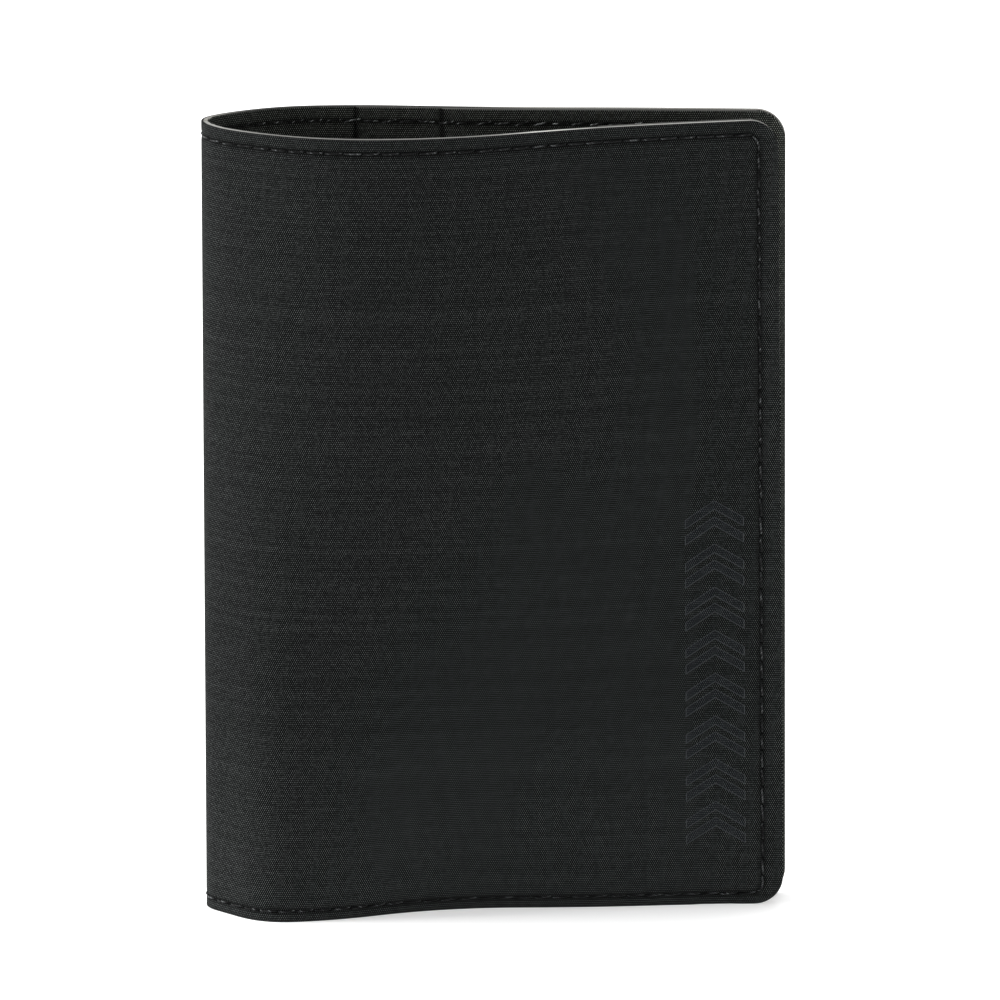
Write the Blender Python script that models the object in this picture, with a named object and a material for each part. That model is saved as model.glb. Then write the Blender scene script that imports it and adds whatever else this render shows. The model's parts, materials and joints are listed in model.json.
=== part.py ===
"""Passport cover: one laminated sheet folded round a soft spine, with sewn-in sleeves on both inner faces.

The cover is cut flat, layer by layer, and every layer is then folded by the same function. The flat
pattern is measured in millimetres: s along the sheet from the spine line (front positive, back
negative), z up from the bottom edge, and depth inwards from the outer face. The finished cover stands
on its bottom edge, with the spine at -X, the free edges at +X and the front cover towards -Y.
"""

import math

import bmesh
import bpy
from mathutils import Vector

MM = 0.001

# The cut sheet
HEIGHT = 140.0
FRONT_WIDTH = 106.0  # spine line to the front free edge, along the sheet
BACK_WIDTH = 103.5
CORNER_RADIUS = 5.0

# The folded sheet seen from above: arcs from the spine line, as (length, turn in degrees)
FRONT_TOP = [(4, 34), (6, 24), (10, 12), (15, 21), (25, 19), (24, -8), (23, -2)]
FRONT_BOTTOM = [(4, 48), (6, -2), (10, 52), (15, 14), (25, -21), (24, 5), (23, -5)]
BACK_TOP = [(3, 44), (4, 13), (6, 9), (10, 19), (15, 9), (30, -4), (36.5, 3)]
BACK_BOTTOM = [(3, 44), (4, 18), (6, 14), (10, 12), (15, 6), (30, -5), (36.5, 0)]
SPINE_LEAN = 1.8  # the spine line's bottom end stands this much nearer the back
FRONT_BELLY = 3.7  # how far a cover's middle swells out of the straight lines from top to bottom
BACK_BELLY = 1.5

# Layers, from the outer face inwards
FABRIC = 0.20
BOARD = 0.70
LAYER_GAP = 0.15
BOARD_DEPTH = FABRIC + LAYER_GAP
LINING_DEPTH = BOARD_DEPTH + BOARD + LAYER_GAP
INNER_DEPTH = LINING_DEPTH + FABRIC

# Creases either side of the spine, where its panel ends and a cover begins
FRONT_CREASE = 10.5
BACK_CREASE = -8.0
CREASE_GAP = 0.35

# Sleeves, each sewn to a cover along its top, bottom and free edge
BACK_SLEEVE_START = 31.0  # from the spine line to the sleeve's open edge
CARD_POCKET_START = 45.0
FRONT_SLEEVE_START = 75.0
SLEEVE_FABRIC = 0.45
SLEEVE_SLACK = 0.7  # room at mid-height for a booklet's cover
SLACK_RUN = 18.0  # the slack dies away over this distance from the free edge

# The lockstitch seam round the whole edge
SEAM_FROM_TOP = 2.4
SEAM_FROM_BOTTOM = 2.0
SEAM_FROM_EDGE = 3.5
SEAM_CORNER = 2.0
THREAD_RADIUS = 0.15
THREAD_CLEARANCE = 0.20
THREAD_STEP = 4.0
SEAM_BREAK = 0.9  # from a crease to the nearest stitch of either side

ROWS = 6
COLUMN_STEP = 4.0
SPINE_STEP = 2.0
CORNER_STEPS = 4

MATERIALS = {  # base colour, roughness
    "outer_fabric": ((0.018, 0.019, 0.0185), 0.80),
    "core_board": ((0.40, 0.40, 0.38), 0.90),
    "lining_fabric": ((0.016, 0.017, 0.0165), 0.85),
    "sleeve_fabric": ((0.018, 0.019, 0.018), 0.85),
    "sewing_thread": ((0.010, 0.010, 0.011), 0.55),
}


def clear_scene():
    for thing in list(bpy.data.objects):
        bpy.data.objects.remove(thing, do_unlink=True)


def make_materials():
    made = {}
    for name, (colour, roughness) in MATERIALS.items():
        material = bpy.data.materials.new(name)
        material.use_nodes = True
        shader = material.node_tree.nodes["Principled BSDF"]
        shader.inputs["Base Color"].default_value = (*colour, 1.0)
        shader.inputs["Roughness"].default_value = roughness
        shader.inputs["Metallic"].default_value = 0.0
        material.diffuse_color = (*colour, 1.0)
        made[name] = material
    return made


def walk(arcs, distance):
    """Where a chain of arcs leads: x, sideways offset and heading, starting square to X."""
    x = side = 0.0
    heading = math.radians(90)
    for length, turn in arcs:
        step = min(length, distance)
        bend = math.radians(turn) * step / length
        chord = step * math.sin(bend / 2) / (bend / 2) if bend else step
        x += chord * math.cos(heading - bend / 2)
        side += chord * math.sin(heading - bend / 2)
        heading -= bend
        distance -= step
    return x, side, heading


def fold(s, z, depth):
    """The place of a point of the flat pattern on the folded cover, in mm from the spine line."""
    front = s > 0
    width, crease, belly = (
        (FRONT_WIDTH, FRONT_CREASE, FRONT_BELLY) if front else (BACK_WIDTH, -BACK_CREASE, BACK_BELLY)
    )
    top = walk(FRONT_TOP if front else BACK_TOP, abs(s))
    bottom = walk(FRONT_BOTTOM if front else BACK_BOTTOM, abs(s))
    rise = z / HEIGHT
    x, side, heading = (b + (t - b) * rise for t, b in zip(top, bottom))
    past_crease = max(0.0, abs(s) - crease) / (width - crease)
    swell = belly * math.sin(math.pi * past_crease) ** 2 * 4 * rise * (1 - rise)
    x += (depth - swell) * math.sin(heading)
    side -= (depth - swell) * math.cos(heading)
    y = -side if front else side
    return Vector((x, y + SPINE_LEAN * (1 - rise), z))


def inner_depth(s):
    """Depth of the innermost face at s, past the lining and any sleeves there."""
    layers = 0
    if s > 0:
        layers = int(s > FRONT_SLEEVE_START - THREAD_STEP / 2)
    else:
        layers += int(-s > BACK_SLEEVE_START - THREAD_STEP / 2)
        layers += int(-s > CARD_POCKET_START - THREAD_STEP / 2)
    return INNER_DEPTH + layers * (LAYER_GAP + SLEEVE_FABRIC)


def sleeve_slack(s, z, layer):
    """How far a sleeve's cloth stands off the face below it."""
    width = FRONT_WIDTH if s > 0 else BACK_WIDTH
    from_edge = min(1.0, max(0.0, (width - SEAM_FROM_EDGE - abs(s)) / SLACK_RUN))
    rise = z / HEIGHT
    return layer * SLEEVE_SLACK * from_edge * 4 * rise * (1 - rise)


def columns(start, end, step):
    """Stations along the sheet from start to end, closer together round a free edge's corners."""
    low = max(start, CORNER_RADIUS - BACK_WIDTH)
    high = min(end, FRONT_WIDTH - CORNER_RADIUS)
    count = math.ceil((high - low) / step)
    run = [low + (high - low) * i / count for i in range(count + 1)]
    angles = [math.pi / 2 * i / CORNER_STEPS for i in range(1, CORNER_STEPS + 1)]
    reaches = [CORNER_RADIUS * math.sin(a) for a in angles]
    back_corner = [low - reach for reach in reversed(reaches)] if start < low else []
    front_corner = [high + reach for reach in reaches] if end > high else []
    return back_corner + run + front_corner


def edge_inset(s):
    """How far the rounded corner pulls the top and bottom edges in at s."""
    width = FRONT_WIDTH if s > 0 else BACK_WIDTH
    into_corner = max(0.0, abs(s) - (width - CORNER_RADIUS))
    return CORNER_RADIUS - math.sqrt(max(0.0, CORNER_RADIUS**2 - into_corner**2))


def cut_sheet(stations, depth, thickness, slack_layer):
    """A flat piece of the pattern as a closed board: a grid, cut to shape and extruded inwards."""
    board = bmesh.new()
    bmesh.ops.create_grid(board, x_segments=len(stations) - 1, y_segments=ROWS, size=1.0)
    for corner in board.verts:
        s = stations[round((corner.co.x + 1) / 2 * (len(stations) - 1))]
        inset = min(edge_inset(s), CORNER_RADIUS * 0.999)
        z = inset + (HEIGHT - 2 * inset) * (corner.co.y + 1) / 2
        corner.co = (s, z, -depth - sleeve_slack(s, z, slack_layer))
    grown = bmesh.ops.extrude_face_region(board, geom=board.faces[:])
    for corner in (g for g in grown["geom"] if isinstance(g, bmesh.types.BMVert)):
        corner.co.z -= thickness
    bmesh.ops.recalc_face_normals(board, faces=board.faces)
    return board


class Maker:
    """Adds finished pieces to the cover's collection, each under the empty of the body it moves with."""

    def __init__(self):
        self.parts = bpy.data.collections.new("passport_cover")
        bpy.context.scene.collection.children.link(self.parts)
        self.materials = make_materials()
        self.pivots = {}  # body name to its empty and that empty's place

    def body(self, name, crease, parent=None):
        """An empty at the bottom of the straight line that the crease makes on the outer face."""
        at = fold(crease, 0, 0) * MM
        empty = bpy.data.objects.new(name, None)
        self.parts.objects.link(empty)
        empty.location = at
        if parent:
            empty.parent, at_parent = self.pivots[parent]
            empty.location = at - at_parent
        self.pivots[name] = (empty, at)

    def place(self, point, body):
        return point * MM - self.pivots[body][1]

    def centre_footprint(self, root):
        """Shifts the root so that the cover's box stands centred over the origin."""
        bpy.context.view_layer.update()
        solids = [o for o in self.parts.objects if o.type != "EMPTY"]
        corners = [o.matrix_world @ Vector(c) for o in solids for c in o.bound_box]
        for axis in (0, 1):
            reach = [c[axis] for c in corners]
            self.pivots[root][0].location[axis] -= (min(reach) + max(reach)) / 2
        bpy.context.view_layer.update()

    def add(self, name, data, body, material):
        piece = bpy.data.objects.new(name, data)
        self.parts.objects.link(piece)
        piece.parent = self.pivots[body][0]
        data.materials.append(self.materials[material])
        return piece

    def panel(self, name, body, span, depth, thickness, material, step=COLUMN_STEP, slack_layer=0):
        board = cut_sheet(columns(*span, step), depth, thickness, slack_layer)
        for corner in board.verts:
            s, z, height = corner.co
            corner.co = self.place(fold(s, z, -height), body)
        mesh = bpy.data.meshes.new(name)
        board.to_mesh(mesh)
        board.free()
        mesh.shade_smooth()
        mesh.set_sharp_from_angle(angle=math.radians(40))
        self.add(name, mesh, body, material)

    def thread(self, name, body, route, depth_at):
        curve = bpy.data.curves.new(name, "CURVE")
        curve.dimensions = "3D"
        curve.bevel_depth = THREAD_RADIUS * MM
        curve.bevel_resolution = 2
        curve.use_fill_caps = True
        line = curve.splines.new("POLY")
        line.points.add(len(route) - 1)
        for knot, (s, z) in zip(line.points, route):
            knot.co = (*self.place(fold(s, z, depth_at(s)), body), 1.0)
        self.add(name, curve, body, "sewing_thread")


def straight(start, end, step=THREAD_STEP):
    """Evenly spaced points of the flat pattern from start to end."""
    count = math.ceil(math.dist(start, end) / step)
    return [
        tuple(a + (b - a) * i / count for a, b in zip(start, end)) for i in range(count + 1)
    ]


def cover_route(crease, width, side):
    """The seam of one cover: out along the top, down the free edge and back along the bottom."""
    near = abs(crease) + SEAM_BREAK
    far = width - SEAM_FROM_EDGE
    top, bottom = HEIGHT - SEAM_FROM_TOP, SEAM_FROM_BOTTOM
    turns = [math.radians(angle) for angle in (30, 60)]
    r = SEAM_CORNER
    route = straight((near, top), (far - r, top))
    route += [(far - r + r * math.sin(a), top - r + r * math.cos(a)) for a in turns]
    route += straight((far, top - r), (far, bottom + r))
    route += [(far - r + r * math.cos(a), bottom + r - r * math.sin(a)) for a in turns]
    route += straight((far - r, bottom), (near, bottom))
    return [(side * s, z) for s, z in route]


def spine_route(z):
    return straight((BACK_CREASE + SEAM_BREAK, z), (FRONT_CREASE - SEAM_BREAK, z), SPINE_STEP)


def outer_thread_depth(s):
    return -THREAD_CLEARANCE - THREAD_RADIUS


def inner_thread_depth(s):
    return inner_depth(s) + THREAD_CLEARANCE + THREAD_RADIUS


def main():
    clear_scene()
    maker = Maker()
    maker.body("back_cover", 0.0)
    maker.body("spine", BACK_CREASE, parent="back_cover")
    maker.body("front_cover", FRONT_CREASE, parent="spine")

    laminate = [
        ("outer_panel", 0.0, FABRIC, "outer_fabric"),
        ("core_board", BOARD_DEPTH, BOARD, "core_board"),
        ("lining", LINING_DEPTH, FABRIC, "lining_fabric"),
    ]
    spans = {
        "back_cover": ("back", (-BACK_WIDTH, BACK_CREASE - CREASE_GAP / 2), COLUMN_STEP),
        "spine": ("spine", (BACK_CREASE + CREASE_GAP / 2, FRONT_CREASE - CREASE_GAP / 2), SPINE_STEP),
        "front_cover": ("front", (FRONT_CREASE + CREASE_GAP / 2, FRONT_WIDTH), COLUMN_STEP),
    }
    for body, (prefix, span, step) in spans.items():
        for layer, depth, thickness, material in laminate:
            maker.panel(f"{prefix}_{layer}", body, span, depth, thickness, material, step)

    sleeves = [
        ("back_sleeve", "back_cover", (-BACK_WIDTH, -BACK_SLEEVE_START), 1),
        ("back_card_pocket", "back_cover", (-BACK_WIDTH, -CARD_POCKET_START), 2),
        ("front_sleeve", "front_cover", (FRONT_SLEEVE_START, FRONT_WIDTH), 1),
    ]
    for name, body, span, layer in sleeves:
        depth = INNER_DEPTH + LAYER_GAP + (layer - 1) * (LAYER_GAP + SLEEVE_FABRIC)
        maker.panel(name, body, span, depth, SLEEVE_FABRIC, "sleeve_fabric", slack_layer=layer)

    routes = {
        "back_seam": ("back_cover", cover_route(BACK_CREASE, BACK_WIDTH, -1)),
        "front_seam": ("front_cover", cover_route(FRONT_CREASE, FRONT_WIDTH, 1)),
        "spine_top_seam": ("spine", spine_route(HEIGHT - SEAM_FROM_TOP)),
        "spine_bottom_seam": ("spine", spine_route(SEAM_FROM_BOTTOM)),
    }
    for name, (body, route) in routes.items():
        maker.thread(f"{name}_needle_thread", body, route, outer_thread_depth)
        maker.thread(f"{name}_bobbin_thread", body, route, inner_thread_depth)
    maker.centre_footprint("back_cover")


main()
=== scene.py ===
import json
import math

import bpy
import numpy as np
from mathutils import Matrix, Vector


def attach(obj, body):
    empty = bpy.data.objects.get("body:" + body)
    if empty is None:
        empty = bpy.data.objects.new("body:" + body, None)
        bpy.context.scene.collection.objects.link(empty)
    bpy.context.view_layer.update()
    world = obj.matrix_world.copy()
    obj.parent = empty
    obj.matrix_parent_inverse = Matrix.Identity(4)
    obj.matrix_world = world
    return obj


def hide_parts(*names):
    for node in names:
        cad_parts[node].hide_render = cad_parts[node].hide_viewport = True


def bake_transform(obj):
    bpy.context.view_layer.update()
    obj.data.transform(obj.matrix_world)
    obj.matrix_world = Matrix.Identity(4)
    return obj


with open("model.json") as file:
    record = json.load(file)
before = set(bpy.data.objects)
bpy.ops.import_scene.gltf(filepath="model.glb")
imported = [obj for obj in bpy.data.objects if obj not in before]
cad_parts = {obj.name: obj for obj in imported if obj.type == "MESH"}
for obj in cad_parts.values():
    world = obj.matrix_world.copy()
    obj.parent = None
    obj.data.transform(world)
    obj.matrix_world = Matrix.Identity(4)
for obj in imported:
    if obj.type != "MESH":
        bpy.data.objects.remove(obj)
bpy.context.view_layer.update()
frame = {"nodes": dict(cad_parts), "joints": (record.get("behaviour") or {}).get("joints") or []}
mm = 0.001
print("frame loaded:", len(frame["nodes"]), "nodes")

# lengths are in mm: s runs along the sheet from the spine line and z runs up

cut = {
    "height": 140.0,
    "frontWidth": 106.0,
    "backWidth": 103.5,
    "cornerRadius": 5.0,
    "midSpine": 1.25,  # the two halves of each layer meet here
    "frontCrease": 10.5,
    "backCrease": -8.0,
}

folds = {  # arcs from the spine line, as (length, turn in degrees), seen from above
    "frontTop": [(4, 34), (6, 24), (10, 12), (15, 21), (25, 19), (24, -8), (23, -2)],
    "frontBottom": [(4, 48), (6, -2), (10, 52), (15, 14), (25, -21), (24, 5), (23, -5)],
    "backTop": [(3, 44), (4, 13), (6, 9), (10, 19), (15, 9), (30, -4), (36.5, 3)],
    "backBottom": [(3, 44), (4, 18), (6, 14), (10, 12), (15, 6), (30, -5), (36.5, 0)],
    "soften": 1.2,  # spread of the bell that rounds one arc into the next
    "spineLean": 1.8,
    "frontBelly": 3.7,
    "backBelly": 1.5,
    "step": 0.25,
    "reach": 112.0,
}

layers = {  # depth of each layer's two faces, from the outer face inwards
    "outerCloth": (0.0, 0.33),
    "coreBoard": (0.35, 1.05),
    "lining": (1.07, 1.40),
    "sleeve": (1.41, 1.86),
    "cardPocket": (1.87, 2.32),
}

sleeves = {
    "backStart": 30.2,
    "pocketStart": 45.0,
    "frontStart": 75.0,
    "slack": 0.7,  # room at mid-height, per layer
    "slackRun": 18.0,  # the slack dies away this far before the seam
}

paintedLight = {"foot": 24.0, "free": 3.0}  # painted light: the cloth's colour is painted paler this near the foot and the free edge

seam = {
    "fromTop": 2.4,
    "fromBottom": 2.0,
    "fromEdge": 3.5,
    "corner": 2.0,
    "pitch": 3.25,
    "holeDepth": 0.22,
    "holeSpread": 0.36,
    "grooveDepth": 0.10,
    "grooveSpread": 0.40,
    "shade": 0.85,  # painted shade: how far the cloth's colour darkens in the seam's groove and beside the sleeves' open edges
    "shadeSpread": 0.32,
    "roll": 0.15,  # radius of the worn cut edge
}


def runningSum(steps):
    # running total over the steps between stations, nothing at s = 0
    total = np.concatenate([[0.0], np.cumsum(steps)])
    return total - total[len(total) // 2]


def blurred(values):
    # a running mean weighted by a bell, which carries straight lines through unchanged
    half = int(4 * folds["soften"] / folds["step"])
    bell = np.exp(-0.5 * (np.arange(-half, half + 1) * folds["step"] / folds["soften"]) ** 2)
    padded = np.pad(values, half, mode="reflect", reflect_type="odd")
    return np.convolve(padded, bell / bell.sum(), mode="valid")


def planCurve(backArcs, frontArcs):
    # each step turns by its arc's curvature and goes along its middle heading, and a blur rounds one arc
    # into the next
    s = np.arange(-folds["reach"], folds["reach"] + folds["step"], folds["step"])
    arcs = backArcs[::-1] + frontArcs
    starts = np.cumsum([-sum(length for length, turn in backArcs)] + [length for length, turn in arcs])
    bends = np.radians([turn / length for length, turn in arcs])
    middles = s[:-1] + folds["step"] / 2
    turns = bends[np.clip(np.searchsorted(starts, middles) - 1, 0, len(bends) - 1)] * folds["step"]
    heading = runningSum(turns) - math.pi / 2
    going = heading[:-1] + turns / 2
    x, y = (runningSum(part(going) * folds["step"]) for part in (np.cos, np.sin))
    return s, blurred(x), blurred(y), blurred(heading)


topCurve = planCurve(folds["backTop"], folds["frontTop"])
bottomCurve = planCurve(folds["backBottom"], folds["frontBottom"])


def fold(s, z, depth):
    # the bottom and top plan curves joined by straight lines, plus a belly of squared sine along s and
    # a parabola up z; depth goes square to the sheet, inwards
    s, z, depth = np.broadcast_arrays(*(np.asarray(a, float) for a in (s, z, depth)))
    rise = z / cut["height"]
    x, y, heading = (
        np.interp(s, bottomCurve[0], low) * (1 - rise) + np.interp(s, topCurve[0], high) * rise
        for low, high in zip(bottomCurve[1:], topCurve[1:])
    )
    width = np.where(s > 0, cut["frontWidth"], cut["backWidth"])
    crease = np.where(s > 0, cut["frontCrease"], -cut["backCrease"])
    belly = np.where(s > 0, folds["frontBelly"], folds["backBelly"])
    along = np.clip((np.abs(s) - crease) / (width - crease), 0, 1)
    inwards = depth - belly * np.sin(math.pi * along) ** 2 * 4 * rise * (1 - rise)
    x = x - np.sin(heading) * inwards
    y = y + np.cos(heading) * inwards + folds["spineLean"] * (1 - rise)
    return np.stack([x, y, z], axis=-1)


frontHinge = next(j for j in frame["joints"] if j["name"] == "front_crease")
spineFoot = np.array(frontHinge["pos_m"]) - fold(cut["frontCrease"], 0, 0) * mm


def place(s, z, depth):
    return fold(s, z, depth) * mm + spineFoot


def widthOf(s):
    return np.where(s > 0, cut["frontWidth"], cut["backWidth"])


def roundedBox(s, z, far, low, high, radius):
    # distance to a rounded box whose spine side is open: negative inside
    ds = np.abs(s) - (far - radius)
    dz = np.abs(z - (low + high) / 2) - ((high - low) / 2 - radius)
    return np.hypot(np.maximum(ds, 0), np.maximum(dz, 0)) + np.minimum(np.maximum(ds, dz), 0) - radius


def edgeDistance(s, z):
    return -roundedBox(s, z, widthOf(s), 0.0, cut["height"], cut["cornerRadius"])


def seamDistance(s, z):
    low, high = seam["fromBottom"], cut["height"] - seam["fromTop"]
    return roundedBox(s, z, widthOf(s) - seam["fromEdge"], low, high, seam["corner"])


def seamLengths(side):
    # lengths of the seam's top run, one corner and the free edge's run
    far = (cut["frontWidth"] if side > 0 else cut["backWidth"]) - seam["fromEdge"] - seam["corner"]
    top = far - side * cut["midSpine"]
    down = cut["height"] - seam["fromTop"] - seam["fromBottom"] - 2 * seam["corner"]
    return far, top, seam["corner"] * math.pi / 2, down


def seamPitch(side):
    far, top, turn, down = seamLengths(side)
    whole = 2 * top + 2 * turn + down
    return whole / round(whole / seam["pitch"]), whole


def seamAlong(s, z, side):
    # length of seam from the spine's middle, out along the top, down the free edge and back
    far, top, turn, down = seamLengths(side)
    low, high = seam["fromBottom"] + seam["corner"], cut["height"] - seam["fromTop"] - seam["corner"]
    out, up, under = side * s - far, z - high, low - z
    onTop = side * s - side * cut["midSpine"]
    onTurn = top + seam["corner"] * np.arctan2(np.maximum(out, 0), np.maximum(up, 1e-9))
    onEdge = top + turn + (high - z)
    underAngle = np.arctan2(np.maximum(under, 0), np.maximum(out, 1e-9))
    onLastTurn = top + turn + down + seam["corner"] * underAngle
    onBottom = top + 2 * turn + down - out
    upper = np.where(up > 0, np.where(out > 0, onTurn, onTop), np.where(out > up, onEdge, onTop))
    belowCorner = np.where(out > 0, onLastTurn, onBottom)
    lower = np.where(under > 0, belowCorner, np.where(out > under, onEdge, onBottom))
    return np.where(z > cut["height"] / 2, upper, lower)


def seamPoint(along, side):
    # the seam's place and direction on the flat cut at a length from the spine's middle
    far, top, turn, down = seamLengths(side)
    low, high, r = seam["fromBottom"], cut["height"] - seam["fromTop"], seam["corner"]
    first = np.clip((along - top) / r, 0, math.pi / 2)
    last = np.clip((along - top - turn - down) / r, 0, math.pi / 2)
    overEdge = np.clip(along - top - turn, 0, down)
    back = np.maximum(along - top - 2 * turn - down, 0)
    angle = first + last
    s = np.minimum(along, top) + r * np.sin(first) - r * (1 - np.cos(last)) - back
    z = high - r * (1 - np.cos(first)) - overEdge - r * np.sin(last)
    return side * (s + side * cut["midSpine"]), z, side * np.cos(angle), -np.sin(angle)


def seamRelief(s, z, side):
    # a shallow groove along the seam with a pit at each needle hole, as a depth into the face
    pitch = seamPitch(side)[0]
    across = seamDistance(s, z)
    toHole = (seamAlong(s, z, side) / pitch + 0.5) % 1 * pitch - pitch / 2
    groove = seam["grooveDepth"] * np.exp(-0.5 * (across / seam["grooveSpread"]) ** 2)
    pit = seam["holeDepth"] * np.exp(-0.5 * (across ** 2 + toHole ** 2) / seam["holeSpread"] ** 2)
    return groove + pit


def edgeRoll(s, z, radius):
    # a quarter circle at the cut edge, as a depth into the face
    inside = np.clip(edgeDistance(s, z) / radius, 0, 1)
    return radius * (1 - np.sqrt(1 - (1 - inside) ** 2))


def runs(start, *stretches):
    # stations from start through (end, step) stretches
    out = [np.array([start])]
    for end, step in stretches:
        count = max(1, round(abs(end - out[-1][-1]) / step))
        out.append(np.linspace(out[-1][-1], end, count + 1)[1:])
    return np.concatenate(out)


def withStations(base, extra, clear):
    # extra stations put into base, whose own are dropped where they come too near
    extra = np.unique(extra)
    near = np.abs(base[:, None] - extra[None, :]).min(axis=1)
    ends = (base == base[0]) | (base == base[-1])
    return np.unique(np.concatenate([base[(near > clear) | ends], extra]))


def flatGrid(s, v, bendRows=None):
    # every station crossed with every row, the rows drawn in round the free corners
    sGrid, vGrid = np.meshgrid(s, v, indexing="ij")
    if bendRows:
        vGrid = vGrid + bendRows(sGrid, vGrid)
    r = cut["cornerRadius"]
    into = np.clip(np.abs(sGrid) - (widthOf(sGrid) - r), 0, r)
    inset = r - np.sqrt(np.maximum(r ** 2 - into ** 2, 0))
    return sGrid, inset + vGrid / cut["height"] * (cut["height"] - 2 * inset)


def gridQuads(columns, rows, first):
    i, j = np.meshgrid(np.arange(columns - 1), np.arange(rows - 1), indexing="ij")
    a = first + i * rows + j
    return np.stack([a, a + rows, a + rows + 1, a + 1], axis=-1).reshape(-1, 4)


def everyNth(count, nth):
    kept = list(range(0, count - 1, nth))
    return np.array(kept + [count - 1])


def sheetPiece(
    name, s, v, faceDepth, backDepth, looks, faceIsInner=False, bendRows=None, nth=4, hemmedTo=0.0
):
    # a closed sheet: a fine grid on the face that shows, a coarse one on its back, and walls whose
    # polygons join each coarse step to the fine steps over it; a wall nearer the spine than hemmedTo is
    # turned under and keeps the cloth's look, and the others are cut
    sFine, zFine = flatGrid(s, v, bendRows)
    keptS, keptV = everyNth(len(s), nth), everyNth(len(v), nth)
    sBack, zBack = sFine[np.ix_(keptS, keptV)], zFine[np.ix_(keptS, keptV)]
    points = np.concatenate([
        place(sFine, zFine, faceDepth(sFine, zFine)).reshape(-1, 3),
        place(sBack, zBack, backDepth(sBack, zBack)).reshape(-1, 3),
    ])
    rows, backRows, first = len(v), len(keptV), sFine.size
    quads = gridQuads(len(s), rows, 0)
    backQuads = gridQuads(len(keptS), backRows, first)[:, ::-1]
    lastS, lastV = len(keptS) - 1, len(keptV) - 1
    ring = [(i, 0) for i in range(lastS)] + [(lastS, j) for j in range(lastV)]
    ring += [(i, lastV) for i in range(lastS, 0, -1)] + [(0, j) for j in range(lastV, 0, -1)]
    walls = []
    for (i, j), (ni, nj) in zip(ring, ring[1:] + ring[:1]):
        fineI = np.linspace(keptS[i], keptS[ni], abs(keptS[ni] - keptS[i]) + 1 if ni != i else 1)
        fineJ = np.linspace(keptV[j], keptV[nj], abs(keptV[nj] - keptV[j]) + 1 if nj != j else 1)
        path = np.round(fineI * rows + fineJ).astype(int)
        walls.append(list(path[::-1]) + [first + i * backRows + j, first + ni * backRows + nj])
    reach = np.abs(sFine.ravel())
    hemmed = [reach[wall[0]] < hemmedTo and reach[wall[-3]] < hemmedTo for wall in walls]
    polygons = quads.tolist() + backQuads.tolist() + walls
    if faceIsInner:
        polygons = [p[::-1] for p in polygons]
    mesh = bpy.data.meshes.new(name)
    mesh.from_pydata(points, [], polygons)
    flat = np.concatenate([
        np.stack([sFine, zFine], axis=-1).reshape(-1, 2), np.stack([sBack, zBack], axis=-1).reshape(-1, 2)
    ]) * mm
    pinUv(mesh, flat)
    # painted shade: the colour is darkened along the seam's groove and, on inner pieces, beside the sleeves'
    # open edges
    across = np.abs(seamDistance(flat[:, 0] / mm, flat[:, 1] / mm))
    if faceIsInner:
        for start in openEdges(flat[0, 0]):
            across = np.minimum(across, np.abs(np.abs(flat[:, 0] / mm) - start))
    shade = mesh.attributes.new("seamShade", "FLOAT", "POINT")
    shade.data.foreach_set("value", seam["shade"] * np.exp(-0.5 * (across / seam["shadeSpread"]) ** 2))
    # painted light: the colour is painted paler near the foot and near the free edge
    fromFree = widthOf(flat[:, 0]) - np.abs(flat[:, 0] / mm)
    nearFoot = np.exp(-((flat[:, 1] / mm / paintedLight["foot"]) ** 2))
    paintedLightMask = np.maximum(nearFoot, np.exp(-((fromFree / paintedLight["free"]) ** 2)))
    mesh.attributes.new("paintedLight", "FLOAT", "POINT").data.foreach_set("value", paintedLightMask)
    for look in looks:
        mesh.materials.append(look)
    onWall = np.zeros(len(polygons), np.int32)
    onWall[len(quads) + len(backQuads):] = np.where(hemmed, 0, len(looks) - 1)
    mesh.polygons.foreach_set("material_index", onWall)
    mesh.shade_smooth()
    mesh.set_sharp_from_angle(angle=math.radians(50))
    return addPiece(name, mesh)


def openEdges(s):
    # the open edges of the sleeves on this side of the spine
    return [sleeves["frontStart"]] if s > 0 else [sleeves["backStart"], sleeves["pocketStart"]]


def pinUv(mesh, flat):
    # the flat cut's own coordinates as the UV map
    corner = np.zeros(len(mesh.loops), np.int32)
    mesh.loops.foreach_get("vertex_index", corner)
    layer = mesh.uv_layers.new(name="flatCut")
    layer.uv.foreach_set("vector", flat[corner].astype(np.float32).ravel())


def addPiece(name, mesh):
    piece = bpy.data.objects.new(name, mesh)
    bpy.context.scene.collection.objects.link(piece)
    return piece


def blankMaterial(name):
    material = bpy.data.materials.new(name)
    material.use_nodes = True
    tree = material.node_tree
    return material, tree, tree.nodes["Principled BSDF"]


def calc(tree, operation, a, b=None):
    node = tree.nodes.new("ShaderNodeMath")
    node.operation = operation
    for socket, value in zip(node.inputs, (a, b)):
        if isinstance(value, (int, float)):
            socket.default_value = value
        elif value is not None:
            tree.links.new(value, socket)
    return node.outputs[0]


def stretched(tree, value, least, spread):
    # least where the value is 0, and spread more where it is 1
    return calc(tree, "ADD", calc(tree, "MULTIPLY", value, spread), least)


def mixColour(tree, factor, dark, light):
    node = tree.nodes.new("ShaderNodeMix")
    node.data_type = "RGBA"
    tree.links.new(factor, node.inputs["Factor"])
    for socket, value in ((node.inputs["A"], dark), (node.inputs["B"], light)):
        if isinstance(value, tuple):
            socket.default_value = (*value, 1.0)
        else:
            tree.links.new(value, socket)
    return node.outputs["Result"]


def joined(tree, x, y):
    node = tree.nodes.new("ShaderNodeCombineXYZ")
    for socket, value in zip(node.inputs, (x, y)):
        tree.links.new(value, socket)
    return node.outputs[0]


def cloud(tree, vector, scale, detail=2.0):
    node = tree.nodes.new("ShaderNodeTexNoise")
    node.inputs["Scale"].default_value = scale
    node.inputs["Detail"].default_value = detail
    tree.links.new(vector, node.inputs["Vector"])
    return node.outputs["Fac"]


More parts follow.
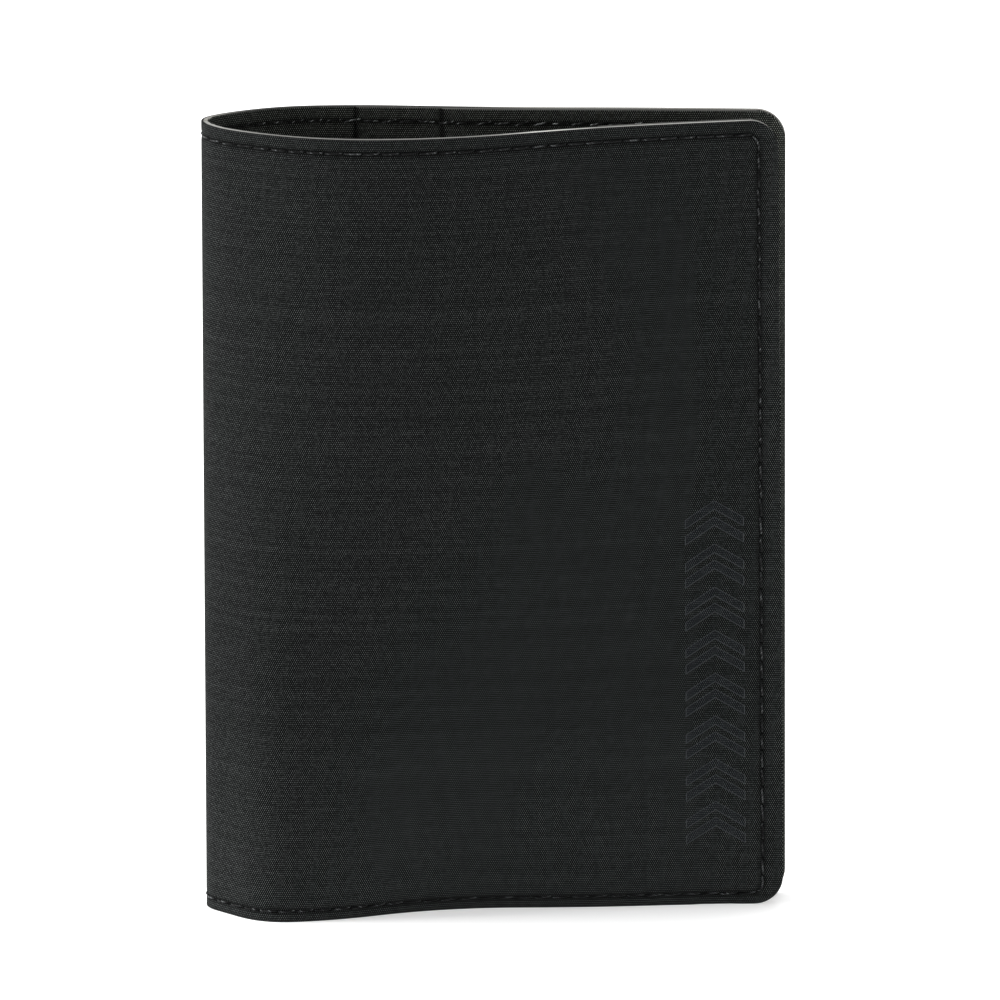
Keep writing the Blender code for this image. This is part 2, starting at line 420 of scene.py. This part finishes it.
def bumped(tree, shader, height, strength, distance):
    node = tree.nodes.new("ShaderNodeBump")
    node.inputs["Strength"].default_value = strength
    node.inputs["Distance"].default_value = distance
    tree.links.new(height, node.inputs["Height"])
    tree.links.new(node.outputs[0], shader.inputs["Normal"])


def flatCutPlace(tree):
    # the flat cut's coordinates in mm
    uv = tree.nodes.new("ShaderNodeUVMap")
    uv.uv_map = "flatCut"
    parts = tree.nodes.new("ShaderNodeSeparateXYZ")
    tree.links.new(uv.outputs[0], parts.inputs[0])
    sMm, zMm = (calc(tree, "DIVIDE", part, mm) for part in parts.outputs[:2])
    return uv.outputs[0], sMm, zMm


weave = {
    "warpPitch": 0.185,  # the upright yarns
    "weftPitch": 0.350,  # the level ones
    "wander": 0.02,
    "dotPower": 1.8,  # how narrow the bright top of each cell is
    "cellTone": (0.48, 0.55),  # least tone of a cell, and how much chance adds to it
    "weftTone": 0.05,  # what a cell keeps of its tone where the weft is on top
    "rowTone": (0.83, 0.30),
    "paintedLightTone": 0.40,  # added to the tone where paler light is painted on the cloth
    "bump": 0.8,
    "bumpDistance": 0.00007,
}


def weaveMaterial(name, dark, light, roughness, specular, pressed=None):
    # plain weave: the product of two sines is positive where a warp yarn is on top and negative where a
    # weft yarn is; its size is the cell's height, and each cell and each weft yarn takes its own tone
    material, tree, shader = blankMaterial(name)
    uv, sMm, zMm = flatCutPlace(tree)
    drift = calc(tree, "MULTIPLY", cloud(tree, uv, 900.0, 1.0), weave["wander"])
    across = calc(tree, "DIVIDE", calc(tree, "ADD", sMm, drift), weave["warpPitch"])
    up = calc(tree, "DIVIDE", calc(tree, "SUBTRACT", zMm, drift), weave["weftPitch"])
    waves = [calc(tree, "SINE", calc(tree, "MULTIPLY", axis, math.pi)) for axis in (across, up)]
    product = calc(tree, "MULTIPLY", *waves)
    cell = calc(tree, "POWER", calc(tree, "ABSOLUTE", product), weave["dotPower"])
    warpOnTop = calc(tree, "GREATER_THAN", product, 0.0)
    white = tree.nodes.new("ShaderNodeTexWhiteNoise")
    white.noise_dimensions = "2D"
    tree.links.new(joined(tree, calc(tree, "FLOOR", across), calc(tree, "FLOOR", up)), white.inputs["Vector"])
    tone = calc(tree, "MULTIPLY", cell, stretched(tree, white.outputs["Value"], *weave["cellTone"]))
    tone = calc(tree, "MULTIPLY", tone, stretched(tree, warpOnTop, weave["weftTone"], 1 - weave["weftTone"]))
    row = tree.nodes.new("ShaderNodeTexWhiteNoise")
    row.noise_dimensions = "1D"
    tree.links.new(calc(tree, "FLOOR", up), row.inputs["W"])
    tone = calc(tree, "MULTIPLY", tone, stretched(tree, row.outputs["Value"], *weave["rowTone"]))
    # painted light: the tone is raised near the foot and the free edge
    pale = tree.nodes.new("ShaderNodeAttribute")
    pale.attribute_name = "paintedLight"
    tone = calc(tree, "MULTIPLY", tone, stretched(tree, pale.outputs["Fac"], 1.0, weave["paintedLightTone"]))
    colour = mixColour(tree, tone, dark, light)
    if pressed:
        # the attribute is 1 inside a stroke; 4p(1 - p) peaks on the stroke's edge and is nothing elsewhere
        mark = tree.nodes.new("ShaderNodeAttribute")
        mark.attribute_name = "pressed"
        inside = mark.outputs["Fac"]
        outside = calc(tree, "SUBTRACT", 1.0, inside)
        # painted highlight: the outline colour lightens each stroke's edge all round; painted sheen: the
        # pressed colours make the strokes lighter and bluer than the weave
        paintedEdgeHighlight = calc(tree, "MULTIPLY", stretched(tree, inside, 0.0, 4.0), outside)
        colour = mixColour(tree, inside, colour, mixColour(tree, tone, *pressed[:2]))
        colour = mixColour(tree, paintedEdgeHighlight, colour, pressed[2])
    # painted shade: the colour goes nearly black in the seam's groove and beside the sleeves' open edges
    shadow = tree.nodes.new("ShaderNodeAttribute")
    shadow.attribute_name = "seamShade"
    colour = mixColour(tree, shadow.outputs["Fac"], colour, (0.0008, 0.0008, 0.0008))
    tree.links.new(colour, shader.inputs["Base Color"])
    shader.inputs["Roughness"].default_value = roughness
    shader.inputs["Specular IOR Level"].default_value = specular
    bumped(tree, shader, cell, weave["bump"], weave["bumpDistance"])
    return material


outerWeave = weaveMaterial(
    "outerWeave", (0.0006, 0.0008, 0.0008), (0.125, 0.133, 0.131), 0.75, 0.02,
    # the pressed colours paint a lighter, bluer sheen on the strokes, and the third is a painted highlight on
    # their edges
    pressed=((0.004, 0.0044, 0.005), (0.115, 0.123, 0.130), (0.055, 0.059, 0.063)),
)
liningWeave = weaveMaterial("liningWeave", (0.001, 0.0012, 0.001), (0.340, 0.362, 0.330), 0.8, 0.03)
sleeveWeave = weaveMaterial("sleeveWeave", (0.001, 0.0012, 0.001), (0.290, 0.308, 0.280), 0.8, 0.03)


def cutEdgeMaterial(name, dark, light, grain, tones=((0.0, 1.0),)):
    # short fibres in the cut, over a slow change of tone; tones are brightness stops along s
    material, tree, shader = blankMaterial(name)
    coordinates = tree.nodes.new("ShaderNodeTexCoord").outputs["Object"]
    fibres = cloud(tree, coordinates, grain, 3.0)
    slow = cloud(tree, coordinates, 40.0, 1.0)
    tone = calc(tree, "ADD", calc(tree, "MULTIPLY", fibres, 0.7), calc(tree, "MULTIPLY", slow, 0.3))
    uv, sMm, zMm = flatCutPlace(tree)
    ramp = tree.nodes.new("ShaderNodeValToRGB")
    stops = ramp.color_ramp.elements
    stops.remove(stops[1])
    for k, (s, value) in enumerate(tones):
        stop = stops[0] if k == 0 else stops.new(s / cut["frontWidth"])
        stop.position, stop.color = s / cut["frontWidth"], (value, value, value, 1.0)
    out = calc(tree, "DIVIDE", calc(tree, "ABSOLUTE", sMm), cut["frontWidth"])
    tree.links.new(out, ramp.inputs["Fac"])
    tone = calc(tree, "MULTIPLY", tone, ramp.outputs["Color"])
    tree.links.new(mixColour(tree, tone, dark, light), shader.inputs["Base Color"])
    shader.inputs["Roughness"].default_value = 0.9
    shader.inputs["Specular IOR Level"].default_value = 0.2
    bumped(tree, shader, fibres, 0.5, 0.0001)
    return material


clothEdge = cutEdgeMaterial("clothEdge", (0.004, 0.004, 0.004), (0.030, 0.030, 0.028), 4000.0)
frontFibre = cutEdgeMaterial(
    "frontFibre", (0.02, 0.02, 0.018), (1.0, 1.0, 0.95), 3000.0,
    tones=(
        (0, 0.55), (8, 0.50), (17, 0.26), (54, 0.26), (60, 0.50), (64, 0.98), (69, 0.85), (75, 0.40),
        (104, 0.55),
    ),
)
backFibre = cutEdgeMaterial(
    "backFibre", (0.01, 0.01, 0.009), (1.0, 0.98, 0.90), 3000.0,
    tones=((0, 0.50), (5, 0.30), (12, 0.04), (50, 0.04), (60, 0.45), (103, 0.45)),
)
sleeveEdge = cutEdgeMaterial("sleeveEdge", (0.03, 0.03, 0.028), (0.14, 0.14, 0.13), 3500.0)


# the pressed pattern on the front cover is a column of plain chevrons

chevrons = {
    "count": 8,
    "fromZ": 11.2,  # foot of the lowest one's arms
    "spacing": 7.75,
    "strokes": (0.0, 2.9),  # each chevron is a pair of strokes, this far above its foot
    "centre": 94.4,  # s of the column's middle
    "halfSpan": 5.1,
    "rise": 3.2,  # how far the point stands above the arms' feet
    "stroke": 1.3,
    "depth": 0.16,
    "lip": 0.05,  # the cloth stands up by this much just outside the pressed edge
    "wall": 0.08,  # half the width of the pressed edge's slope
    "fade": 12.0,  # rows straighten out over this distance past the column
}


def chevronRows():
    # the two rows of each chevron's stroke, before the rows are bent
    slope = math.atan2(chevrons["rise"], chevrons["halfSpan"])
    thick = chevrons["stroke"] / math.cos(slope)
    cells = chevrons["fromZ"] + chevrons["spacing"] * np.arange(chevrons["count"])
    feet = (cells[:, None] + np.array(chevrons["strokes"])).ravel()
    return feet, feet + thick


def chevronBend(s, v):
    # a tent over the column, highest at its middle, that fades out below and above it
    feet, tops = chevronRows()
    tent = np.clip(1 - np.abs(s - chevrons["centre"]) / chevrons["halfSpan"], 0, 1)
    fade = np.clip((v - feet[0] + chevrons["fade"]) / chevrons["fade"], 0, 1)
    fade = fade * np.clip((tops[-1] + chevrons["fade"] - v) / chevrons["fade"], 0, 1)
    return chevrons["rise"] * tent * fade


def wallSteps():
    # stations across one pressed edge
    return (-3 * chevrons["wall"], -chevrons["wall"], 0.0, chevrons["wall"])


def chevronPress(s, v, ramp):
    # 1 inside a stroke and 0 outside, with a straight ramp of this width over its edges
    inside = np.clip((chevrons["halfSpan"] - np.abs(s - chevrons["centre"])) / ramp + 0.5, 0, 1)
    total = np.zeros_like(v)
    for foot, top in zip(*chevronRows()):
        total += np.clip((v - foot) / ramp + 0.5, 0, 1) * np.clip((top - v) / ramp + 0.5, 0, 1)
    return inside * total


outer = {"column": 0.5, "row": 0.45, "seamRow": 0.32, "edgeRow": 0.05}


def clothRows(size):
    high, seamBand, edgeBand = cut["height"], 5.0, seam["roll"]
    return runs(
        0.0, (edgeBand, size["edgeRow"]), (seamBand, size["seamRow"]), (high - seamBand, size["row"]),
        (high - edgeBand, size["seamRow"]), (high, size["edgeRow"]),
    )


def clothColumns(start, side, size):
    # stations from start to the free edge, as distances from the spine line, finer at both ends
    width = cut["frontWidth"] if side > 0 else cut["backWidth"]
    straight = runs(start, (start + 0.3, 0.1), (width - cut["cornerRadius"], size["column"]))
    angles = np.linspace(0, math.pi / 2, 17)[1:]
    corner = width - cut["cornerRadius"] * (1 - np.sin(angles))
    return np.concatenate([straight, corner])


def outerDepth(side):
    return lambda s, z: seamRelief(s, z, side) + edgeRoll(s, z, seam["roll"])


def flatBack(name):
    return lambda s, z: np.full_like(s, layers[name][1])


def makeFrontCloth():
    columns = clothColumns(cut["midSpine"], 1, outer)
    sides = [chevrons["centre"] + k * chevrons["halfSpan"] + e for k in (-1, 1) for e in wallSteps()]
    columns = withStations(columns, np.array(sides + [chevrons["centre"]]), 0.12)
    strokes = np.concatenate(chevronRows())
    rows = withStations(clothRows(outer), (strokes[:, None] + np.array(wallSteps())).ravel(), 0.12)
    flat = np.meshgrid(columns, rows, indexing="ij")
    press = chevronPress(*flat, 2 * chevrons["wall"])
    swollen = chevronPress(*flat, 8 * chevrons["wall"]) * (1 - press)

    def faceDepth(s, z):
        return outerDepth(1)(s, z) + chevrons["depth"] * press - chevrons["lip"] * swollen

    piece = sheetPiece(
        "frontOuterCloth", columns, rows, faceDepth, flatBack("outerCloth"), [outerWeave, clothEdge],
        bendRows=chevronBend,
    )
    mark = piece.data.attributes.new("pressed", "FLOAT", "POINT")
    values = np.zeros(len(piece.data.vertices), np.float32)
    values[:press.size] = press.ravel()
    mark.data.foreach_set("value", values)
    return piece


def makeBackCloth():
    columns = -clothColumns(-cut["midSpine"], -1, outer)[::-1]
    return sheetPiece(
        "backOuterCloth", columns, clothRows(outer), outerDepth(-1), flatBack("outerCloth"),
        [outerWeave, clothEdge],
    )


frontCloth = makeFrontCloth()
backCloth = makeBackCloth()
print("outer cloth:", len(frontCloth.data.polygons), "and", len(backCloth.data.polygons), "faces")

board = {"column": 2.0, "row": 2.0, "seamRow": 1.0, "edgeRow": 0.1, "roll": 0.06}


def makeBoard(name, side):
    near, far = layers["coreBoard"]
    columns = clothColumns(side * cut["midSpine"], side, board)
    columns = columns if side > 0 else -columns[::-1]
    return sheetPiece(
        name, columns, clothRows(board),
        lambda s, z: near + 0 * s,
        lambda s, z: far + 0 * s,
        [clothEdge, frontFibre if side > 0 else backFibre], nth=2, hemmedTo=cut["midSpine"] + 0.01,
    )


frontBoard = makeBoard("frontCoreBoard", 1)
backBoard = makeBoard("backCoreBoard", -1)

inner = {"column": 0.8, "row": 0.8, "seamRow": 0.4, "edgeRow": 0.05}


def innerColumns(start, side):
    # stations from start to the free edge, with a few more either side of each open edge
    base = clothColumns(start, side, inner)
    extra = [edge + k * 0.3 for edge in openEdges(side) for k in range(-2, 3) if edge + k * 0.3 > start + 0.4]
    columns = withStations(base, np.array(extra), 0.15) if extra else base
    return columns if side > 0 else -columns[::-1]


def makeLining(name, side):
    columns = innerColumns(side * cut["midSpine"], side)
    start, finish = layers["lining"]
    return sheetPiece(
        name, columns, clothRows(inner),
        lambda s, z: finish - seamRelief(s, z, side) * 0.6 - edgeRoll(s, z, seam["roll"]),
        lambda s, z: start + 0 * s,
        [liningWeave, clothEdge], faceIsInner=True,
    )


frontLining = makeLining("frontLining", 1)
backLining = makeLining("backLining", -1)


def sleeveSlack(s, z, layer):
    # a parabola up the height, dying away towards the free edge's seam
    fromSeam = np.clip((widthOf(s) - seam["fromEdge"] - np.abs(s)) / sleeves["slackRun"], 0, 1)
    rise = z / cut["height"]
    return layer * sleeves["slack"] * fromSeam * 4 * rise * (1 - rise)


def makeSleeve(name, side, start, depths, layer):
    columns = innerColumns(start, side)
    near, far = layers[depths]
    openRoll = 0.12

    def faceDepth(s, z):
        lip = np.clip((np.abs(s) - start) / openRoll, 0, 1)
        worn = openRoll * (1 - np.sqrt(1 - (1 - lip) ** 2))
        relief = seamRelief(s, z, side) * 0.6 + edgeRoll(s, z, seam["roll"])
        return far + sleeveSlack(s, z, layer) - relief - worn

    return sheetPiece(
        name, columns, clothRows(inner), faceDepth,
        lambda s, z: near + sleeveSlack(s, z, layer),
        [sleeveWeave, sleeveEdge], faceIsInner=True, hemmedTo=start + 0.01,
    )


backSleeve = makeSleeve("backSleeve", -1, sleeves["backStart"], "sleeve", 1)
cardPocket = makeSleeve("backCardPocket", -1, sleeves["pocketStart"], "cardPocket", 2)
frontSleeve = makeSleeve("frontSleeve", 1, sleeves["frontStart"], "sleeve", 1)
print("boards, linings and sleeves made")

stitch = {
    "radius": 0.15,
    "share": 0.90,  # of the pitch that the thread shows
    "rings": 8,
    "sides": 6,
    "lift": 0.10,  # centre of the thread above the groove's floor
    "dive": 0.30,  # how far its ends go into the needle holes
    "slant": 0.10,  # sideways shift from one end to the other
    "innerSlant": -0.26,
    "loose": 0.05,  # random spread of that shift and of the height
    "innerLoose": 0.12,
    "lengthLoose": 0.03,
    "ply": 0.42,  # length of one turn of the twisted plies
}


def threadMaterial(name, dark, light):
    # three plies turning along the thread: a ply's back is up where the sine is large, and a few of them
    # catch the light
    material, tree, shader = blankMaterial(name)
    uv, along, around = flatCutPlace(tree)
    turn = calc(tree, "ADD", calc(tree, "DIVIDE", along, stitch["ply"]), calc(tree, "MULTIPLY", around, 3.0))
    ply = calc(tree, "ABSOLUTE", calc(tree, "SINE", calc(tree, "MULTIPLY", turn, math.pi)))
    white = tree.nodes.new("ShaderNodeTexWhiteNoise")
    white.noise_dimensions = "1D"
    tree.links.new(calc(tree, "FLOOR", turn), white.inputs["W"])
    rare = calc(tree, "POWER", white.outputs["Value"], 4.0)
    tone = calc(tree, "MULTIPLY", calc(tree, "POWER", ply, 4.0), rare)
    tree.links.new(mixColour(tree, tone, dark, light), shader.inputs["Base Color"])
    shader.inputs["Roughness"].default_value = 0.40
    shader.inputs["Specular IOR Level"].default_value = 0.12
    bumped(tree, shader, ply, 0.9, 0.00006)
    return material


needleThread = threadMaterial("needleThread", (0.0005, 0.0005, 0.0006), (0.25, 0.265, 0.27))
bobbinThread = threadMaterial("bobbinThread", (0.0005, 0.0005, 0.0006), (0.60, 0.63, 0.62))


def innerFace(s, z):
    # depth of the innermost face, over whatever sleeves are there
    size = np.abs(s)
    lining = np.full_like(s, layers["lining"][1])
    onFront = np.where(size > sleeves["frontStart"], layers["sleeve"][1] + sleeveSlack(s, z, 1), lining)
    onBack = np.where(size > sleeves["backStart"], layers["sleeve"][1] + sleeveSlack(s, z, 1), lining)
    onBack = np.where(size > sleeves["pocketStart"], layers["cardPocket"][1] + sleeveSlack(s, z, 2), onBack)
    return np.where(s > 0, onFront, onBack)


def makeStitches(name, side, inside, seed):
    # each stitch is a tube of rings along the seam; its middle follows the face and its ends dive by a
    # steep power curve into the needle holes
    pitch, whole = seamPitch(side)
    count = round(whole / pitch)
    random = np.random.default_rng(seed)
    t = np.linspace(-1, 1, stitch["rings"])
    slant, loose = ("innerSlant", "innerLoose") if inside else ("slant", "loose")
    tilt = stitch[slant] + random.normal(0, stitch[loose], (count, 1))
    height = stitch["lift"] + random.normal(0, stitch["loose"] / 2, (count, 1))
    length = stitch["share"] * (1 + random.normal(0, stitch["lengthLoose"], (count, 1)))
    along = (np.arange(count)[:, None] + 0.5) * pitch + t * pitch / 2 * length
    aside = tilt * t + random.normal(0, stitch["loose"] / 2, (count, 1)) * (1 - t ** 2)
    s, z, ds, dz = seamPoint(np.clip(along, 0, whole), side)
    sunk = -height + stitch["dive"] * np.abs(t) ** 5
    theta = np.arange(stitch["sides"]) * 2 * math.pi / stitch["sides"]
    thin = stitch["radius"] * (1 - 0.15 * np.abs(t) ** 3)
    acrossOffset = aside[..., None] + thin[:, None] * np.cos(theta)
    depthOffset = sunk[..., None] + thin[:, None] * np.sin(theta) * 0.9
    sRing = s[..., None] - dz[..., None] * acrossOffset
    zRing = z[..., None] + ds[..., None] * acrossOffset
    if inside:
        base = innerFace(s, z)[..., None] - 0.6 * seam["grooveDepth"]
        depth = base - depthOffset
    else:
        depth = seam["grooveDepth"] + depthOffset
    points = place(sRing, zRing, depth).reshape(-1, 3)
    rings, sides = stitch["rings"], stitch["sides"]
    n, i, k = np.meshgrid(np.arange(count), np.arange(rings - 1), np.arange(sides), indexing="ij")
    a = (n * rings + i) * sides + k
    b = (n * rings + i) * sides + (k + 1) % sides
    quads = np.stack([a, b, b + sides, a + sides], axis=-1).reshape(-1, 4)
    starts = (np.arange(count) * rings * sides)[:, None] + np.arange(sides)
    caps = np.concatenate([starts[:, ::-1], starts + (rings - 1) * sides])
    mesh = bpy.data.meshes.new(name)
    mesh.from_pydata(points, [], quads.tolist() + caps.tolist())
    lengthUv = np.broadcast_to((along * mm)[..., None], sRing.shape)
    aroundUv = np.broadcast_to(theta / (2 * math.pi) * mm, sRing.shape)
    pinUv(mesh, np.stack([lengthUv, aroundUv], axis=-1).reshape(-1, 2))
    mesh.materials.append(bobbinThread if inside else needleThread)
    mesh.shade_smooth()
    if meshVolume(mesh) < 0:
        mesh.flip_normals()
    return addPiece(name, mesh)


def meshVolume(mesh):
    # sum of each polygon's fan of tetrahedra, by its centre, normal and area
    size = len(mesh.polygons)
    centre, normal, area = np.zeros(size * 3), np.zeros(size * 3), np.zeros(size)
    mesh.polygons.foreach_get("center", centre)
    mesh.polygons.foreach_get("normal", normal)
    mesh.polygons.foreach_get("area", area)
    return ((centre.reshape(-1, 3) * normal.reshape(-1, 3)).sum(axis=1) * area).sum() / 3


frontNeedle = makeStitches("frontNeedleStitches", 1, False, 11)
backNeedle = makeStitches("backNeedleStitches", -1, False, 12)
frontBobbin = makeStitches("frontBobbinStitches", 1, True, 13)
backBobbin = makeStitches("backBobbinStitches", -1, True, 14)
print("stitches made")

hinges = {"before": 5.0, "after": 9.0}  # distances before and after a crease at which the cover's middle is found; nothing is bent by them


def bendFront(piece):
    start = cut["frontCrease"] - hinges["before"]
    middle(start)
    middle(cut["frontCrease"] + hinges["after"])
    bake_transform(piece)


def bendBack(piece):
    end = cut["backCrease"] + hinges["before"]
    middle(cut["backCrease"] - hinges["after"])
    middle(end)
    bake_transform(piece)


def middle(s):
    return Vector(place(s, cut["height"] / 2, 0.0))


spineThreads = {
    kind: [f"spine_{end}_seam_{kind}_thread" for end in ("top", "bottom")] for kind in ("needle", "bobbin")
}
halves = [
    (frontCloth, bendFront, "outer_fabric", ["front_outer_panel", "spine_outer_panel"]),
    (backCloth, bendBack, "outer_fabric", ["back_outer_panel", "spine_outer_panel"]),
    (frontBoard, bendFront, "core_board", ["front_core_board", "spine_core_board"]),
    (backBoard, bendBack, "core_board", ["back_core_board", "spine_core_board"]),
    (frontLining, bendFront, "lining_fabric", ["front_lining", "spine_lining"]),
    (backLining, bendBack, "lining_fabric", ["back_lining", "spine_lining"]),
    (frontNeedle, bendFront, "sewing_thread", ["front_seam_needle_thread"] + spineThreads["needle"]),
    (backNeedle, bendBack, "sewing_thread", ["back_seam_needle_thread"] + spineThreads["needle"]),
    (frontBobbin, bendFront, "sewing_thread", ["front_seam_bobbin_thread"] + spineThreads["bobbin"]),
    (backBobbin, bendBack, "sewing_thread", ["back_seam_bobbin_thread"] + spineThreads["bobbin"]),
]
for piece, bendIt, slotName, nodes in halves:
    bendIt(piece)
    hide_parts(*nodes)

for piece, body, node in (
    (backSleeve, "back_cover", "back_sleeve"),
    (cardPocket, "back_cover", "back_card_pocket"),
    (frontSleeve, "front_cover", "front_sleeve"),
):
    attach(piece, body)
    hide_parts(node)


studio = {
    "floorSize": 12.0,
    "floorColour": (0.86, 0.86, 0.86),
    "floorGlow": 0.4,
    "sky": 0.47,
    "keyPower": 92.0,
    "topPower": 14.0,
    "fillPower": 12.0,
}

view = {
    "distance": 2.2,
    "elevation": 15.4,
    "turn": 0.5,  # the camera stands this many degrees towards the free edge
    "lens": 462.7,
    "aimX": 0.00103,
    "aimUp": 0.00345,  # along the picture's upright
    "sensor": 36.0,
}


def makeFloor():
    half = studio["floorSize"] / 2
    mesh = bpy.data.meshes.new("floor")
    corners = [(-half, -half, 0), (half, -half, 0), (half, half, 0), (-half, half, 0)]
    mesh.from_pydata(corners, [], [(0, 1, 2, 3)])
    material, tree, shader = blankMaterial("paleFloor")
    shader.inputs["Base Color"].default_value = (*studio["floorColour"], 1.0)
    shader.inputs["Roughness"].default_value = 1.0
    shader.inputs["Specular IOR Level"].default_value = 0.0
    shader.inputs["Emission Color"].default_value = (1.0, 1.0, 1.0, 1.0)
    shader.inputs["Emission Strength"].default_value = studio["floorGlow"]
    mesh.materials.append(material)
    addPiece("floor", mesh)


def makeSky():
    world = bpy.data.worlds.new("studioWorld")
    world.use_nodes = True
    background = world.node_tree.nodes["Background"]
    background.inputs["Color"].default_value = (1.0, 1.0, 1.0, 1.0)
    background.inputs["Strength"].default_value = studio["sky"]
    bpy.context.scene.world = world


def softbox(name, at, size, power):
    lamp = bpy.data.lights.new(name, "AREA")
    lamp.shape = "RECTANGLE"
    lamp.size, lamp.size_y = size
    lamp.energy = power
    holder = bpy.data.objects.new(name, lamp)
    bpy.context.scene.collection.objects.link(holder)
    holder.location = at
    holder.rotation_euler = (Vector((0, 0, 0.07)) - Vector(at)).to_track_quat("-Z", "Y").to_euler()


def makeCamera():
    camera = bpy.data.objects.new("camera", bpy.data.cameras.new("camera"))
    bpy.context.scene.collection.objects.link(camera)
    tilt = math.radians(view["elevation"])
    turn = math.radians(view["turn"])
    towards = Vector((math.cos(tilt) * math.sin(turn), -math.cos(tilt) * math.cos(turn), math.sin(tilt)))
    rightwards = Vector((math.cos(turn), math.sin(turn), 0))
    upright = towards.cross(rightwards)
    aim = Vector((0, 0, cut["height"] * mm / 2)) + rightwards * view["aimX"] + upright * view["aimUp"]
    camera.location = aim + towards * view["distance"]
    camera.rotation_euler = (-towards).to_track_quat("-Z", "Y").to_euler()
    camera.data.sensor_width = view["sensor"]
    camera.data.lens = view["lens"]
    camera.data.clip_start = 0.1
    camera.data.clip_end = 50.0
    bpy.context.scene.camera = camera


makeFloor()
makeSky()
softbox("keyLight", (-2.0, 0.0, 0.9), (0.8, 1.2), studio["keyPower"])
softbox("topLight", (0.3, 0.5, 1.8), (1.2, 1.2), studio["topPower"])
softbox("fillLight", (1.6, -1.3, 0.5), (0.8, 0.8), studio["fillPower"])
makeCamera()
bpy.context.scene.view_settings.view_transform = "Standard"
print("stage, light and camera made")
